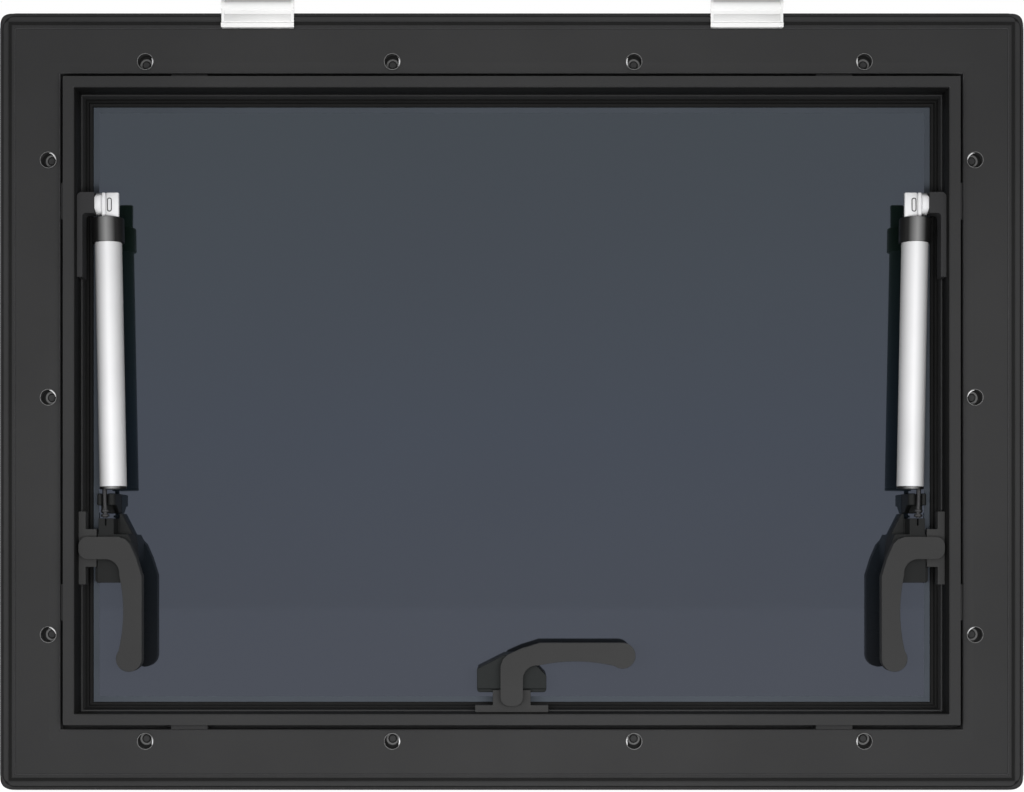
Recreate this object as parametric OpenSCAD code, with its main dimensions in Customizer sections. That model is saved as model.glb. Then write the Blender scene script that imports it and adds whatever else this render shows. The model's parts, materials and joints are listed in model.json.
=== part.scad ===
// Top-hung caravan window, drawn closed and latched.
// Axes: +Z up, +X to the right as seen from inside the caravan, +Y out through the wall.
// Origin: on the flange face that beds on the outside of the wall, midway along its bottom strip.

/* [Opening] */
// Clear width between the frame's inner walls
opening_w = 479; // [380:1:900]
// Clear height between the frame's inner walls
opening_h = 343; // [320:1:600]
// Thickness of the caravan wall that the window clamps
wall_t = 24; // [22:1:40]

/* [Outer frame] */
// Width of the rim that is seen from inside
ring_t = 6; // [5:0.5:9]
// Wall of the frame extrusion behind that rim
ring_skin = 2.2; // [1.5:0.1:3]
// How far the rim stands in front of the clamp frame
ring_proud = 6; // [3:0.5:9]
// Length of the thick rim along the frame's depth
rim_len = 14; // [12:0.5:14]
// Step on the inner wall that the gasket sits on
lip_w = 0.8; // [0.5:0.1:1.2]
// Distance from the rim's face to that step
lip_depth = 17; // [14:0.5:19]
// Width of the flange on the outside of the wall
flange_w = 24; // [22:1:34]
// Thickness of the flange
flange_t = 3; // [2.5:0.5:4]
// Corner radius of the flange
flange_corner_r = 10; // [4:1:20]

/* [Clamp frame] */
// Width of the clamp frame's face
clamp_w = 33.5; // [28:0.5:44]
// Thickness of the clamp frame
clamp_t = 8; // [8:0.5:10]
// Gap between the clamp frame and the rim
clamp_gap = 3; // [2:0.5:5]
// Outer corner radius of the clamp frame
clamp_corner_r = 8; // [4:1:14]
// Depth of the bevel along its inner edge
clamp_bevel = 1.4; // [0.6:0.1:2]
// Width of that bevel
clamp_bevel_w = 6; // [4:0.5:8]
// Thickness of its front skin
clamp_skin = 2.4; // [1.6:0.1:3]

/* [Screw holes] */
// Diameter of the counterbore
counterbore_d = 9.6; // [8:0.1:11]
// Depth of the counterbore
counterbore_depth = 5.4; // [4:0.1:6]
// Diameter of the hole through
screw_hole_d = 5; // [4:0.1:6]
// Distance from the clamp frame's inner edge to the holes
hole_inset = 6.5; // [6:0.1:9]
// Half the spacing of the holes near the ends of the long rails
end_hole_x = 197.8; // [120:0.1:200]
// Sideways shift of those holes
end_hole_shift = -3.8; // [-5:0.1:5]
// Half the spacing of the two middle holes of the long rails
mid_hole_x = 66.5; // [30:0.5:90]
// Sideways shift of those holes
mid_hole_shift = 0.8; // [-5:0.1:5]
// Half the spacing of the outer holes of the upright rails
side_hole_z = 130.6; // [80:0.1:135]
// Upward shift of the upright rails' holes
side_hole_shift = 2.3; // [-5:0.1:5]

/* [Panes] */
// Distance from the rim's face to the inner pane
pane_depth = 28.5; // [26:0.5:32]
// Thickness of the inner pane
inner_pane_t = 2.5; // [2:0.5:4]
// Thickness of the outer pane
outer_pane_t = 3; // [2:0.5:5]
// Running gap between the inner pane's edge and the frame's wall
pane_edge_gap = 1.5; // [1.2:0.1:3]
// How far the outer pane laps over the frame on each side
pane_lap = 22; // [18:1:24]
// Space between the flange and the outer pane
seal_space = 5; // [4:0.5:7]
// Corner radius of the outer pane
pane_corner_r = 12; // [4:1:20]

/* [Latches] */
// Height of the handle's face above the inner pane
handle_h = 25; // [24:0.5:27]
// Thickness of the handle
handle_t = 6.5; // [5:0.5:8]
// Running gap under the handle
handle_gap = 0.5; // [0.3:0.1:0.8]
// Width of the handle's short leg
leg_w = 12.4; // [10:0.2:14]
// Length of the short leg from the pivot
leg_len = 15.4; // [14:0.2:16]
// Reach of the long grip from the pivot
grip_len = 68; // [55:1:75]
// Radius of the grip's round end
grip_end_r = 7.1; // [6:0.1:8]
// Height of the grip's back edge over the pivot
grip_rise = 19.4; // [18:0.2:22]
// Diameter of the spindle
spindle_d = 8; // [6:0.5:9]
// Radial play of the spindle in its base
spindle_play = 0.05; // [0.03:0.01:0.1]
// Distance from the frame's wall to the pivots of the side latches
side_latch_inset = 17; // [17:0.1:20]
// Distance from the frame's wall to the pivot of the bottom latch
bottom_latch_inset = 19.4; // [17:0.1:22]
// Distance of the side latches below the window's middle, as a share of the opening's height
side_latch_share = 0.235; // [0.18:0.001:0.26]
// Length of the striker plate
striker_len = 40.5; // [34:0.5:50]
// Width of the striker's ledge
ledge_w = 21; // [16:0.5:26]

/* [Stays] */
// Outer diameter of the stay tube
tube_d = 14.8; // [12:0.1:16]
// Length of the stay tube
tube_len = 136; // [90:1:140]
// How far the stay's axis lies behind the face of the handles
stay_sink = 9; // [7:0.5:10]
// Distance from the frame's wall to the stay's axis at the upper end of the tube
stay_inset = 16.2; // [15.6:0.1:20]
// Lean of the stay towards the window's middle, in degrees
stay_lean = 1.13; // [0:0.01:1.4]
// Height of the tube's lower end above the side latch's pivot
stay_foot_rise = 34; // [32:0.5:40]
// Diameter of the stay's collar
collar_d = 16.8; // [15:0.1:19]
// Length of the collar
collar_len = 12.7; // [10:0.1:16]
// Diameter of the rod below the tube
rod_d = 2.6; // [2.2:0.1:3.2]
// Sideways offset of the rod from the tube's axis
rod_offset = 4.8; // [4:0.1:4.8]

/* [Top clips] */
// Width of each clip
clip_w = 40; // [30:1:50]
// Place of the left clip along the top
clip_left_x = -139.4; // [-170:0.1:-80]
// Place of the right clip along the top
clip_right_x = 129.1; // [80:0.1:170]
// How far the clip laps down over the clamp frame
clip_lap = 10.1; // [7:0.1:12]

/* [Hidden] */
$fn = 64;
// depths along Y, from the rim's face inside to the outer pane outside
clamp_back_y = -wall_t;
clamp_face_y = clamp_back_y - clamp_t;
rim_y = clamp_face_y - ring_proud;
lip_y = rim_y + lip_depth;
pane_y = rim_y + pane_depth;
flange_out_y = flange_t;
outer_pane_y = flange_out_y + seal_space;
// heights and outlines
mid_z = opening_h / 2 + ring_t + flange_w / 2;
clamp_u = ring_t + clamp_gap;
clamp_out_u = clamp_u + clamp_w;
flange_u = ring_t + flange_w;
hole_u = clamp_u + hole_inset;
pad_len = 20;
pad_play = 0.2;
pad_face_y = clamp_face_y + 2.2;
corner_r = 1;
gasket_w = 3.6;
gasket_root_w = 1.9;
gasket_depth = 4.5;
gasket_lip_t = 2;
inner_pane_u = -lip_w - pane_edge_gap;
spacer_w = 9;
spacer_edge = 3;
handle_back_h = handle_h - handle_t;
base_h = handle_back_h - handle_gap;
plate_play = 0.1;
plate_depth = base_h - (pane_y - lip_y) - plate_play;
ledge_t = 0.55 * plate_depth;
ledge_clear = 0.8;
side_latch_drop = side_latch_share * opening_h;
stay_h = handle_h - stay_sink;
leg_r = 5;
spindle_depth = 11;

// Everything below is drawn about the window's middle and lifted to it here.
module at_middle() {
    translate([0, 0, mid_z]) children();
}

// A straight rail whose section is the child: x of the section runs away from the opening, y is depth.
// Its ends are mitred at 45 degrees for an opening side of the given length.
module mitred_rail(side_len, reach_in, reach_out) {
    long = side_len + 2 * reach_out + 2;
    cutter_depth = 4 * pane_depth;
    intersection() {
        rotate([0, -90, 0])
            linear_extrude(height = long, center = true)
                children();
        rotate([90, 0, 0])
            linear_extrude(height = cutter_depth, center = true)
                polygon([
                    [-side_len / 2 + reach_in, -reach_in],
                    [side_len / 2 - reach_in, -reach_in],
                    [side_len / 2 + reach_out, reach_out],
                    [-side_len / 2 - reach_out, reach_out]
                ]);
    }
}

// Puts a rail on one side of the opening: turn is 0 top, 90 right, 180 bottom, 270 left.
module on_side(turn) {
    away = (turn == 0 || turn == 180) ? opening_h / 2 : opening_w / 2;
    rotate([0, turn, 0]) translate([0, 0, away]) children();
}

function pad_place(turn) = (turn == 0 || turn == 180) ? end_hole_x - pad_len : side_hole_z - pad_len;

function side_length(turn) = (turn == 0 || turn == 180) ? opening_w : opening_h;

module rounded_rect(w, h, r) {
    union() {
        square([w - 2 * r, h], center = true);
        square([w, h - 2 * r], center = true);
        for (sx = [-1, 1], sz = [-1, 1])
            translate([sx * (w / 2 - r), sz * (h / 2 - r)]) circle(r);
    }
}

// Upright slab with rounded corners, from y0 to y1.
module slab(w, h, r, y0, y1) {
    translate([0, y1, 0])
        rotate([90, 0, 0])
            linear_extrude(height = y1 - y0)
                rounded_rect(w, h, r);
}

// Ring between two outlines that lie outer_u and inner_u away from the opening.
module ring(outer_u, inner_u, outer_r, inner_r, y0, y1) {
    difference() {
        slab(opening_w + 2 * outer_u, opening_h + 2 * outer_u, outer_r, y0, y1);
        slab(opening_w + 2 * inner_u, opening_h + 2 * inner_u, inner_r, y0 - 1, y1 + 1);
    }
}

// Section of the outer frame: rim, thin wall through the caravan's wall, step and flange.
module outer_frame_section() {
    edge = 0.6;
    drip = 1.2;
    polygon([
        [edge, rim_y],
        [ring_t, rim_y],
        [ring_t, rim_y + rim_len],
        [ring_skin, rim_y + rim_len],
        [ring_skin, -4],
        [ring_t, -4],
        [ring_t, 0],
        [flange_u, 0],
        [flange_u, flange_t - drip],
        [flange_u - drip, flange_t],
        [-lip_w, flange_t],
        [-lip_w, lip_y],
        [0, lip_y],
        [0, rim_y + edge]
    ]);
}

module outer_frame_rail(turn) {
    color([0.17, 0.17, 0.18])
        at_middle()
            intersection() {
                on_side(turn)
                    mitred_rail(side_length(turn), lip_w + 1, flange_u + 1)
                        outer_frame_section();
                slab(opening_w + 2 * flange_u, opening_h + 2 * flange_u, flange_corner_r, rim_y - 1, flange_t + 1);
            }
}

// Section of the clamp frame, from its bevelled inner edge to the beaded outer edge.
module clamp_frame_section() {
    outer_wall = 2.5;
    boss_w = 13;
    groove = 0.8;
    bead_r = 2.9;
    f = clamp_face_y;
    difference() {
        union() {
            polygon([
                [clamp_u, f + clamp_bevel],
                [clamp_u + 0.7, f + clamp_bevel - 0.5],
                [clamp_u + clamp_bevel_w, f],
                [clamp_out_u - 9.2, f],
                [clamp_out_u - 8.8, f + 0.4],
                [clamp_out_u - 8.4, f],
                [clamp_out_u - 7.8, f - 0.3],
                [clamp_out_u - 7, f - 0.1],
                [clamp_out_u - 6.5, f + groove],
                [clamp_out_u - 5.9, f + groove],
                [clamp_out_u - 5.5, f + 0.2],
                [clamp_out_u - bead_r, f + bead_r],
                [clamp_out_u, f + bead_r],
                [clamp_out_u, clamp_back_y],
                [clamp_u, clamp_back_y]
            ]);
            translate([clamp_out_u - bead_r, f + bead_r - 0.4]) circle(bead_r);
            translate([clamp_out_u - bead_r, f + bead_r - 0.4]) square([bead_r, bead_r]);
        }
        // the hollow on the side that lies against the wall
        translate([clamp_u + boss_w, f + clamp_skin])
            square([clamp_w - boss_w - outer_wall, clamp_t]);
    }
}

// One counterbored hole, drilled from the inside face.
module screw_hole(x, z) {
    translate([x, clamp_back_y + 1, z])
        rotate([90, 0, 0])
            cylinder(h = clamp_t + 2, d = screw_hole_d);
    translate([x, clamp_face_y + counterbore_depth, z])
        rotate([90, 0, 0])
            cylinder(h = counterbore_depth + 1, d = counterbore_d);
}

module long_rail_holes(z) {
    for (side = [-1, 1]) {
        screw_hole(end_hole_shift + side * end_hole_x, z);
        screw_hole(mid_hole_shift + side * mid_hole_x, z);
    }
}

module side_rail_holes(x) {
    for (step = [-1, 0, 1])
        screw_hole(x, side_hole_shift + step * side_hole_z);
}

// Pad on a rail's inner edge that centres it on the rim, at a distance along the rail.
module centring_pad(turn, along) {
    on_side(turn)
        translate([along - pad_len / 2, pad_face_y, ring_t + pad_play])
            cube([pad_len, clamp_back_y - pad_face_y, clamp_gap - pad_play + 1]);
}

module clamp_frame_rail(turn) {
    color([0.23, 0.23, 0.24])
        at_middle()
            difference() {
                union() {
                    intersection() {
                        on_side(turn)
                            mitred_rail(side_length(turn), 1, clamp_out_u + 1)
                                clamp_frame_section();
                        slab(opening_w + 2 * clamp_out_u, opening_h + 2 * clamp_out_u, clamp_corner_r,
                            clamp_face_y - 2, clamp_back_y + 1);
                    }
                    for (side = [-1, 1])
                        centring_pad(turn, side * pad_place(turn));
                }
                if (turn == 0) long_rail_holes(opening_h / 2 + hole_u);
                if (turn == 180) long_rail_holes(-opening_h / 2 - hole_u);
                if (turn == 90) side_rail_holes(opening_w / 2 + hole_u);
                if (turn == 270) side_rail_holes(-opening_w / 2 - hole_u);
            }
}

// Rubber on the frame's step: a thick root, and a thin lip that covers the edge of the inner pane.
module frame_gasket() {
    color([0.05, 0.05, 0.05])
        at_middle()
            union() {
                ring(-lip_w, -lip_w - gasket_root_w, corner_r, corner_r, pane_y - gasket_depth, pane_y);
                ring(-lip_w, -lip_w - gasket_w, corner_r, corner_r, pane_y - gasket_lip_t, pane_y);
            }
}

// Seal between the flange and the outer pane: a flat foot and a bulb.
module weather_seal() {
    foot_t = 1.4;
    foot_w = 8;
    bulb_w = 4.6;
    middle_u = ring_t + 7;
    color([0.05, 0.05, 0.05])
        at_middle()
            union() {
                ring(middle_u + foot_w / 2, middle_u - foot_w / 2, pane_corner_r, corner_r,
                    flange_out_y, flange_out_y + foot_t);
                ring(middle_u + bulb_w / 2, middle_u - bulb_w / 2, pane_corner_r, corner_r,
                    flange_out_y, outer_pane_y);
            }
}

module outer_pane() {
    color([0.12, 0.13, 0.15, 0.7])
        at_middle()
            slab(opening_w + 2 * pane_lap, opening_h + 2 * pane_lap, pane_corner_r,
                outer_pane_y, outer_pane_y + outer_pane_t);
}

module inner_pane() {
    color([0.12, 0.13, 0.15, 0.7])
        at_middle()
            slab(opening_w + 2 * inner_pane_u, opening_h + 2 * inner_pane_u, 3 * corner_r,
                pane_y, pane_y + inner_pane_t);
}

// Spacer that joins the two panes round their edge.
module pane_spacer() {
    color([0.04, 0.04, 0.04])
        at_middle()
            ring(inner_pane_u - spacer_edge, inner_pane_u - spacer_edge - spacer_w, 2 * corner_r, corner_r,
                pane_y + inner_pane_t, outer_pane_y);
}

// The hinge runs along the top outside: a socket on the frame holds a bulb on the pane's leaf.
hinge_r = 2.4;
hinge_wall = 1.5;
hinge_play = 0.1;
hinge_end_gap = 10;
hinge_len = opening_w + 2 * pane_lap - 2 * hinge_end_gap;
hinge_out_r = hinge_r + hinge_play + hinge_wall;
hinge_z = opening_h / 2 + pane_lap + hinge_out_r + 0.5;
hinge_y = outer_pane_y + 1;
mouth_turn = 125;
neck_t = 1.8;
leaf_t = 1.8;
leaf_w = 15;

module hinge_section() {
    rotate([0, -90, 0])
        linear_extrude(height = hinge_len, center = true)
            children();
}

module hinge_rail() {
    foot_t = 3;
    mouth_w = 2 * hinge_r - 0.4;
    color([0.17, 0.17, 0.18])
        at_middle()
            hinge_section()
                difference() {
                    union() {
                        translate([hinge_z, hinge_y]) circle(hinge_out_r);
                        translate([hinge_z - hinge_out_r, flange_out_y])
                            square([2 * hinge_out_r - 2, foot_t]);
                    }
                    translate([hinge_z, hinge_y]) circle(hinge_r + hinge_play);
                    translate([hinge_z, hinge_y])
                        rotate(mouth_turn)
                            translate([0, -mouth_w / 2]) square([2 * hinge_out_r, mouth_w]);
                }
}

module hinge_leaf() {
    leaf_y = outer_pane_y + outer_pane_t;
    pane_top = opening_h / 2 + pane_lap;
    nose = leaf_t / 2;
    color([0.17, 0.17, 0.18])
        at_middle()
            hinge_section()
                union() {
                    translate([hinge_z, hinge_y]) circle(hinge_r);
                    polygon([
                        [hinge_z, hinge_y - neck_t / 2],
                        [hinge_z, hinge_y + neck_t / 2],
                        [pane_top - nose, leaf_y + leaf_t],
                        [pane_top - leaf_w + nose, leaf_y + leaf_t],
                        [pane_top - leaf_w, leaf_y + nose],
                        [pane_top - leaf_w, leaf_y],
                        [pane_top, leaf_y]
                    ]);
                }
}

// Stays. Each is drawn for the left side about the middle, and mirrored for the right.
tube_wall = 1;
rod_out = 17.2;
nut_d = 4.6;
nut_t = 1.3;
cap_t = 1.4;
head_rise = 20.3;
stay_y = pane_y - stay_h;
stay_x = -opening_w / 2 + stay_inset;
tube_foot_z = -side_latch_drop + stay_foot_rise;
tube_top_z = tube_foot_z + tube_len;
stay_pivot_z = tube_top_z + head_rise;
bracket_reach = 9.4;
base_half = 19.2;
base_step = leg_w / 2 + 0.2;
shoulder_h = 7;
// where the rod's foot lies after the lean
rod_foot_x = stay_x + sin(stay_lean) * (tube_len + rod_out / 2) - rod_offset;
fork_top_z = tube_foot_z - rod_out - 0.4;

// Turns the child about the tube's upper end so that the stay leans.
module along_stay() {
    translate([stay_x, stay_y, tube_top_z])
        rotate([0, -stay_lean, 0])
            children();
}

// Bent bracket on the frame's wall: a leg that runs down it and an arm that carries the swivel.
module stay_bracket_shape() {
    leg_t = 3.1;
    leg_drop = 41;
    arm_half = 5.8;
    bend_r = 2.6;
    fillet_r = 1.8;
    back_y = lip_y - 0.1;
    front_y = stay_y - arm_half;
    translate([-opening_w / 2, back_y, stay_pivot_z])
        rotate([90, 0, 0])
            linear_extrude(height = back_y - front_y)
                union() {
                    translate([0, -leg_drop]) square([leg_t, leg_drop + arm_half - bend_r]);
                    translate([0, -arm_half]) square([bracket_reach, 2 * arm_half - bend_r]);
                    translate([bend_r, 0]) square([bracket_reach - bend_r, arm_half]);
                    translate([bend_r, arm_half - bend_r]) circle(bend_r);
                    difference() {
                        translate([leg_t - 1, -arm_half - fillet_r]) square(fillet_r + 1);
                        translate([leg_t + fillet_r, -arm_half - fillet_r]) circle(fillet_r);
                    }
                }
}

// Swivel head: a thick washer on the bracket and the slotted block that the tube's collar hangs on.
module stay_pivot_shape() {
    block_w = 9.4;
    block_depth = 8;
    block_rise = 5.9;
    block_shift = 1.8;
    washer_d = 11.5;
    slot_w = 2.3;
    slot_h = 7.2;
    head_x = -opening_w / 2 + bracket_reach + 0.1;
    block_x = stay_x - block_w / 2 + block_shift;
    bottom_z = tube_top_z + collar_len + 0.2;
    face_y = stay_y - block_depth / 2;
    difference() {
        union() {
            translate([block_x, face_y, bottom_z])
                cube([block_w, block_depth, stay_pivot_z + block_rise - bottom_z]);
            translate([head_x, stay_y, stay_pivot_z])
                rotate([0, 90, 0])
                    cylinder(h = block_x - head_x + 0.3, d = washer_d);
        }
        // slot in the block's face, and the groove that sets off its near edge
        translate([block_x + 3.4, face_y - 1, stay_pivot_z - 4.6]) cube([slot_w, 3, slot_h]);
        translate([block_x + 2.6, face_y, stay_pivot_z])
            rotate([0, 0, 45])
                cube([0.8, 0.8, 4 * block_rise], center = true);
    }
}

module stay_collar_shape() {
    along_stay()
        cylinder(h = collar_len, d = collar_d);
}

module stay_tube_shape() {
    along_stay()
        translate([0, 0, -tube_len])
            difference() {
                cylinder(h = tube_len, d = tube_d);
                translate([0, 0, -1]) cylinder(h = tube_len - 5, d = tube_d - 2 * tube_wall);
            }
}

module stay_end_cap_shape() {
    plug_len = 6;
    along_stay()
        translate([0, 0, -tube_len - cap_t])
            difference() {
                union() {
                    cylinder(h = cap_t, d = tube_d);
                    cylinder(h = plug_len, d = tube_d - 2 * tube_wall - 0.1);
                }
                translate([-rod_offset, 0, -1]) cylinder(h = plug_len + 2, d = rod_d + 0.1);
            }
}

module stay_rod_shape() {
    hidden_len = 25;
    along_stay()
        translate([-rod_offset, 0, -tube_len - rod_out])
            union() {
                cylinder(h = rod_out + hidden_len, d = rod_d);
                for (z = [0.6, 0.6 + 2 * nut_t])
                    translate([0, 0, z]) cylinder(h = nut_t, d = nut_d);
            }
}

// Moulding on the inner pane above a side latch: two lobes hold the rod, and a flank runs down to the base.
module stay_anchor_shape() {
    foot_z = -side_latch_drop + base_half + 0.2;
    top_z = tube_foot_z - 2.4 - cap_t;
    back_t = 5;
    lobe_len = 6.6;
    near_r = 1.3;
    far_r = 2.2;
    near_x = rod_foot_x - rod_d / 2 - 0.3 - near_r;
    far_x = rod_foot_x + rod_d / 2 + 0.3 + far_r;
    flank_w = 2.6;
    flank_high = stay_h - 3;
    left_x = near_x - near_r;
    right_x = far_x + far_r;
    slot_w = rod_d + 0.5;
    module bar(x0, x1, z0, z1, h1) {
        translate([x0, pane_y - h1, z0]) cube([x1 - x0, h1, z1 - z0]);
    }
    module lobe(x, r) {
        bar(x - r, x + r, top_z - lobe_len, top_z, stay_h);
        translate([x, stay_y, top_z - lobe_len]) cylinder(h = lobe_len, r = r);
    }
    difference() {
        union() {
            bar(left_x, right_x, foot_z, top_z, back_t);
            lobe(near_x, near_r);
            lobe(far_x, far_r);
            // the flank slopes down from the lobes to the low shoulder of the base
            translate([right_x - flank_w, 0, 0])
                rotate([90, 0, 90])
                    linear_extrude(height = flank_w)
                        polygon([
                            [pane_y, foot_z],
                            [pane_y - shoulder_h, foot_z],
                            [pane_y - flank_high, top_z - lobe_len],
                            [pane_y - flank_high, top_z - 1],
                            [pane_y, top_z - 1]
                        ]);
            bar(left_x, left_x + 1.2, foot_z, top_z - 1, back_t + 2);
        }
        along_stay()
            translate([-rod_offset - slot_w / 2, -stay_h, -tube_len - 2 * rod_out])
                cube([slot_w, stay_h, 2 * rod_out]);
        along_stay()
            translate([-rod_offset, 0, -tube_len - 2 * rod_out])
                cylinder(h = 2 * rod_out, d = slot_w);
    }
}

// Latches. Each is drawn about its pivot on the inner pane, with the short leg down.
module handle_outline() {
    shoulder = [[-leg_w / 2, 6.5], [-leg_w / 2 + 1.4, 10.4], [-2, 13], [5.5, 16.3], [15.5, grip_rise]];
    grip_x = grip_len - grip_end_r;
    grip_z = grip_rise - grip_end_r;
    corner_r = 7.6;
    corner_x = leg_w / 2 + corner_r;
    corner_z = -0.6;
    under_r = 92.5;
    under_x = 35;
    under_z = 9.2;
    union() {
        difference() {
            polygon(concat(
                [[-leg_w / 2, -leg_len + leg_r]],
                shoulder,
                [
                    [grip_x, grip_rise],
                    [grip_x, grip_z - grip_end_r],
                    [corner_x, grip_z - grip_end_r],
                    [corner_x, corner_z],
                    [leg_w / 2, corner_z],
                    [leg_w / 2, -leg_len + leg_r]
                ]));
            // the round of the inner corner, and the shallow arch under the grip
            translate([corner_x, corner_z]) circle(corner_r);
            intersection() {
                translate([under_x, under_z - under_r]) circle(under_r, $fn = 200);
                translate([corner_x, -leg_len]) square([grip_x - corner_x + 1, 2 * leg_len]);
            }
        }
        translate([grip_x, grip_z]) circle(grip_end_r);
        for (side = [-1, 1])
            translate([side * (leg_w / 2 - leg_r), -leg_len + leg_r]) circle(leg_r);
        translate([-leg_w / 2 + leg_r, -leg_len]) square([leg_w - 2 * leg_r, leg_r + 1]);
    }
}

// Extrudes a latch outline from height h0 to h1 above the pane.
module from_pane(h0, h1) {
    translate([0, -h0, 0])
        rotate([90, 0, 0])
            linear_extrude(height = h1 - h0)
                children();
}

// Hollow in the back of the grip, with the ribs that cross it.
module grip_hollow() {
    hollow_r = 3.6;
    face_t = 1.8;
    start_x = 17;
    end_x = grip_len - grip_end_r - 2;
    middle_z = grip_rise - 1.8 - hollow_r;
    rib_t = 1.2;
    rib_pitch = (end_x - start_x) / 4;
    difference() {
        from_pane(handle_back_h - 1, handle_h - face_t)
            union() {
                translate([start_x, middle_z - hollow_r]) square([end_x - start_x, 2 * hollow_r]);
                translate([start_x, middle_z]) circle(hollow_r);
                translate([end_x, middle_z]) circle(hollow_r);
            }
        for (i = [1:3])
            from_pane(handle_back_h + 1, handle_h)
                translate([start_x + i * rib_pitch - rib_t / 2, middle_z - 2 * hollow_r])
                    square([rib_t, 4 * hollow_r]);
    }
}

module latch_handle_shape() {
    union() {
        difference() {
            from_pane(handle_back_h, handle_h) handle_outline();
            grip_hollow();
        }
        translate([0, -(base_h - spindle_depth), 0])
            rotate([90, 0, 0])
                cylinder(h = spindle_depth + handle_gap + 1, d = spindle_d - 2 * spindle_play);
    }
}

// The base under a handle; end_z and bend_z shape the corner that the grip hides.
module latch_base_shape(end_z, bend_z) {
    difference() {
        union() {
            from_pane(0, base_h)
                polygon([
                    [-base_half, -base_step], [base_half, -base_step],
                    [base_half, end_z], [14, bend_z], [6, 13], [-4.6, 12], [-base_half, 4.6]
                ]);
            from_pane(0, base_h - ledge_t - 1)
                polygon([
                    [-base_half, -base_step], [-base_half, -7.6], [-base_half + 1, -8.6],
                    [base_half - 1, -8.6], [base_half, -7.6], [base_half, -base_step]
                ]);
        }
        translate([0, -(base_h - spindle_depth - 0.5), 0])
            rotate([90, 0, 0])
                cylinder(h = spindle_depth + 2, d = spindle_d);
    }
}

// What is cut from a side latch's base so that its upper end is the narrow fork under the stay's rod.
module fork_cut() {
    fork_near = -5.9;
    fork_far = 2.5;
    fork_end = -base_half + (-side_latch_drop + base_half - fork_top_z);
    groove_w = 0.9;
    cheek_end = -leg_w / 2 - 1.4;
    slot_w = 0.8;
    slot_len = 4;
    slot_z = rod_foot_x + opening_w / 2 - side_latch_inset + 0.8;
    above = base_h + 1;
    past = base_half + 1;
    // the corner beside the frame, and all above the fork
    translate([-past, -above, -past]) cube([past + cheek_end, above + 1, past + fork_near]);
    translate([-past, -above, -past]) cube([past + fork_end, above + 1, past + fork_far + groove_w]);
    // the shoulder beside the fork stays low
    translate([-past, -above, fork_far]) cube([past + cheek_end, above - shoulder_h, past]);
    // the groove between fork and shoulder, and the slot in the fork
    translate([-past, -above, fork_far]) cube([past + cheek_end, above - 6, groove_w]);
    translate([fork_end - 1, -above, slot_z - slot_w / 2]) cube([slot_len + 1, 4, slot_w]);
}

// Keeper on the frame's wall: a plate with a ledge that the handle's leg closes over.
module latch_striker_shape(inset) {
    ledge_len = inset - leg_w / 2 - ledge_clear;
    plate_rise = 4;
    translate([-striker_len / 2, -base_h, -inset]) cube([striker_len, plate_depth, plate_rise]);
    translate([-ledge_w / 2, -base_h, -inset]) cube([ledge_w, ledge_t, ledge_len]);
}

module place_latch(side) {
    at_middle()
        if (side == "bottom")
            translate([0, pane_y, -opening_h / 2 + bottom_latch_inset]) children();
        else if (side == "left")
            translate([-opening_w / 2 + side_latch_inset, pane_y, -side_latch_drop])
                rotate([0, 90, 0]) children();
        else
            mirror([1, 0, 0])
                translate([-opening_w / 2 + side_latch_inset, pane_y, -side_latch_drop])
                    rotate([0, 90, 0]) children();
}

module latch_handle(side) {
    color([0.27, 0.27, 0.28]) place_latch(side) latch_handle_shape();
}

module latch_base(side) {
    color([0.2, 0.2, 0.21])
        place_latch(side)
            difference() {
                if (side == "bottom") latch_base_shape(1, 6.3);
                else latch_base_shape(6.5, 9.4);
                if (side != "bottom") fork_cut();
            }
}

module latch_striker(side) {
    inset = side == "bottom" ? bottom_latch_inset : side_latch_inset;
    color([0.25, 0.25, 0.26]) place_latch(side) latch_striker_shape(inset);
}

module place_stay(side) {
    at_middle()
        if (side == "left")
            children();
        else
            mirror([1, 0, 0]) children();
}

module stay_bracket(side) {
    color([0.24, 0.24, 0.25]) place_stay(side) stay_bracket_shape();
}

module stay_pivot(side) {
    color([0.8, 0.8, 0.8]) place_stay(side) stay_pivot_shape();
}

module stay_collar(side) {
    color([0.06, 0.06, 0.06]) place_stay(side) stay_collar_shape();
}

module stay_tube(side) {
    color([0.85, 0.85, 0.85]) place_stay(side) stay_tube_shape();
}

module stay_end_cap(side) {
    color([0.06, 0.06, 0.06]) place_stay(side) stay_end_cap_shape();
}

module stay_rod(side) {
    color([0.6, 0.6, 0.6]) place_stay(side) stay_rod_shape();
}

module stay_anchor(side) {
    color([0.1, 0.1, 0.1]) place_stay(side) stay_anchor_shape();
}

// Plastic clip hooked over the top edge of the clamp frame, with a raised border at each end.
module clip_section(grow) {
    edge_z = opening_h / 2 + clamp_out_u;
    back_y = clamp_face_y - 0.6;
    low_z = edge_z - clip_lap;
    top_z = edge_z + 10.5;
    groove_y = back_y - 1.6 - grow;
    union() {
        polygon([
            [low_z, back_y],
            [low_z, back_y - 2.4 - grow],
            [low_z + 3.4, back_y - 2.8 - grow],
            [low_z + 4, groove_y],
            [edge_z + 0.4, groove_y],
            [top_z, clamp_back_y - 2.5 - grow],
            [top_z, clamp_back_y],
            [edge_z + 0.1, clamp_back_y],
            [edge_z + 0.1, back_y]
        ]);
        translate([edge_z + 2.9 + grow, back_y + 0.6]) circle(3.2 + grow);
    }
}

module top_clip(x) {
    border_w = 1.6;
    border_t = 0.5;
    color([0.95, 0.95, 0.93])
        at_middle()
            translate([x, 0, 0])
                rotate([0, -90, 0])
                    union() {
                        linear_extrude(height = clip_w, center = true) clip_section(0);
                        for (side = [-1, 1])
                            translate([0, 0, side * (clip_w - border_w) / 2])
                                linear_extrude(height = border_w, center = true) clip_section(border_t);
                    }
}

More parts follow.
